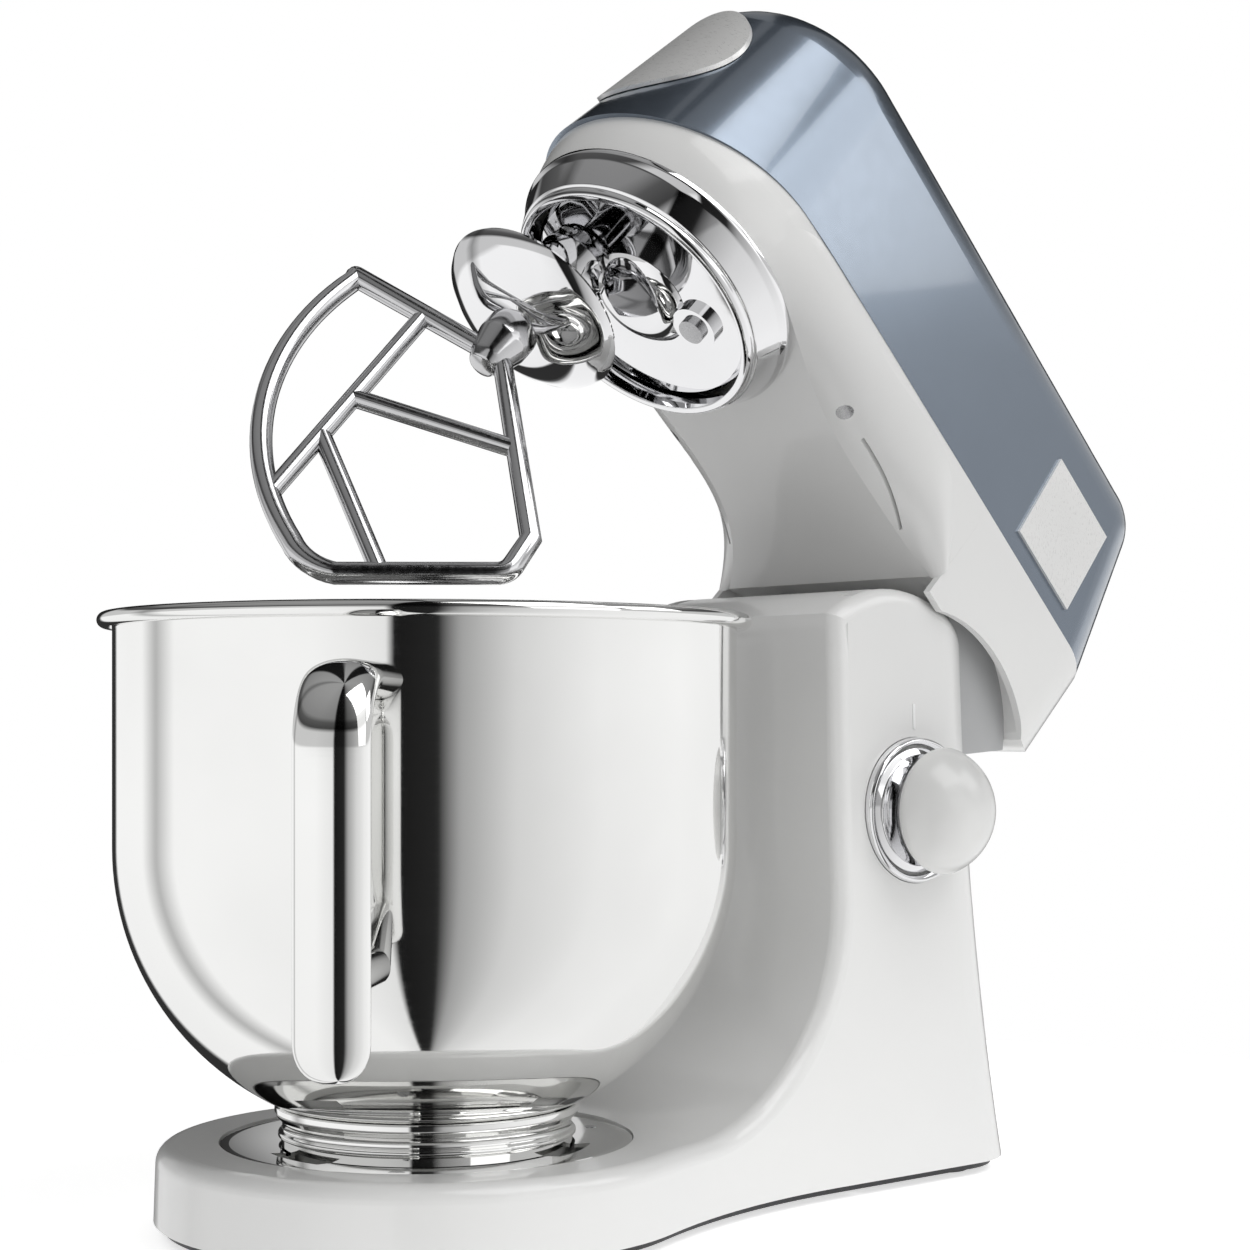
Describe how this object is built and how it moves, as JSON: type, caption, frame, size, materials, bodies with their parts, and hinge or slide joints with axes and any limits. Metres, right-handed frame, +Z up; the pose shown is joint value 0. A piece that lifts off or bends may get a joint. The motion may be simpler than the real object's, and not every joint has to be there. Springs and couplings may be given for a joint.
{
  "type": "stand mixer",
  "caption": "Tilt-head stand mixer with a steel bowl, flat beater, planetary hub, belt drive, speed knob and a nose outlet cover.",
  "frame": {"origin": "underside of the foot below the bowl, on the bowl axis and the worktop", "axes": "+Z up, the nose of the head points to -Y and the speed knob to +X"},
  "size_m": [0.2262, 0.4485, 0.4407],
  "materials": {
    "white_paint": "gloss",
    "blue_paint": "metallic gloss",
    "polished_steel": "polished",
    "dark_plastic": "matte",
    "rubber": "matte",
    "screw_steel": "satin",
    "white_plastic": "gloss",
    "grey_plastic": "satin",
    "board_green": "gloss",
    "satin_metal": "satin",
    "pale_plastic": "matte",
    "bronze": "satin"
  },
  "bodies": {
    "base": {"base_casting": "white_paint", "base_plate": "dark_plastic", "rubber_feet": "rubber", "plate_screws": "screw_steel", "bowl_seat_ring": "polished_steel", "seat_screws": "screw_steel", "hinge_pin": "screw_steel", "pin_clips": "screw_steel", "knob_bezel": "polished_steel", "speed_switch": "dark_plastic", "control_board": "board_green", "cord_inlet": "rubber"},
    "knob": {"speed_knob": "white_plastic", "knob_collar": "polished_steel"},
    "release": {"release_lever": "grey_plastic", "release_shaft": "screw_steel"},
    "bowl": {"bowl_shell": "polished_steel", "bowl_foot": "polished_steel", "bowl_handle": "polished_steel"},
    "head": {"head_casing": "white_paint", "head_shell": "blue_paint", "badge_plate": "satin_metal", "hub_trim_ring": "polished_steel", "hinge_cover": "grey_plastic", "hinge_arms": "screw_steel", "arm_bushes": "bronze", "gear_housing": "satin_metal", "ring_gear": "pale_plastic", "motor_can": "satin_metal", "motor_bracket": "satin_metal", "drive_belt": "rubber", "casing_screws": "screw_steel", "rear_vent": "dark_plastic", "outlet_bush": "pale_plastic"},
    "carrier": {"planet_carrier": "polished_steel", "hub_shaft": "screw_steel", "hub_pulley": "satin_metal", "carrier_screw": "screw_steel"},
    "tool": {"planet_gear": "pale_plastic", "tool_shaft": "polished_steel", "splash_disc": "polished_steel", "beater": "polished_steel"},
    "rotor": {"motor_rotor": "screw_steel", "motor_pulley": "satin_metal", "cooling_fan": "dark_plastic"},
    "cap": {"outlet_cap": "satin_metal"}
  },
  "joints": [
    {"name": "head_tilt", "type": "hinge", "parent": "base", "child": "head", "pos_m": [0, 0.183, 0.157], "axis": [1, 0, 0], "range_deg": [0, 46]},
    {"name": "carrier_spin", "type": "hinge", "parent": "head", "child": "carrier", "pos_m": [0, 0.0976, 0.32893], "axis": [0, 0.7193, 0.6947], "continuous": true},
    {"name": "tool_spin", "type": "hinge", "parent": "carrier", "child": "tool", "pos_m": [-0.02364, 0.08477, 0.34221], "axis": [0, 0.7193, 0.6947], "continuous": true},
    {"name": "motor_spin", "type": "hinge", "parent": "head", "child": "rotor", "pos_m": [0, 0.24994, 0.26474], "axis": [0, 0.7193, 0.6947], "continuous": true},
    {"name": "knob_turn", "type": "hinge", "parent": "base", "child": "knob", "pos_m": [0.06, 0.18, 0.139], "axis": [1, 0, 0], "range_deg": [-40, 240]},
    {"name": "release_turn", "type": "hinge", "parent": "base", "child": "release", "pos_m": [-0.06, 0.188, 0.122], "axis": [1, 0, 0], "range_deg": [0, 30], "stiffness_Nm_per_rad": 0.3},
    {"name": "bowl_turn", "type": "hinge", "parent": "base", "child": "bowl", "pos_m": [0, 0, 0.03], "axis": [0, 0, 1], "range_deg": [0, 30]},
    {"name": "cap_pull", "type": "slide", "parent": "head", "child": "cap", "axis": [0, -0.6947, 0.7193], "range_m": [0, 0.03]}
  ],
  "couplings": [
    {"joint": "tool_spin", "follows": "carrier_spin", "ratio": -3.5},
    {"joint": "motor_spin", "follows": "carrier_spin", "ratio": 3}
  ]
}
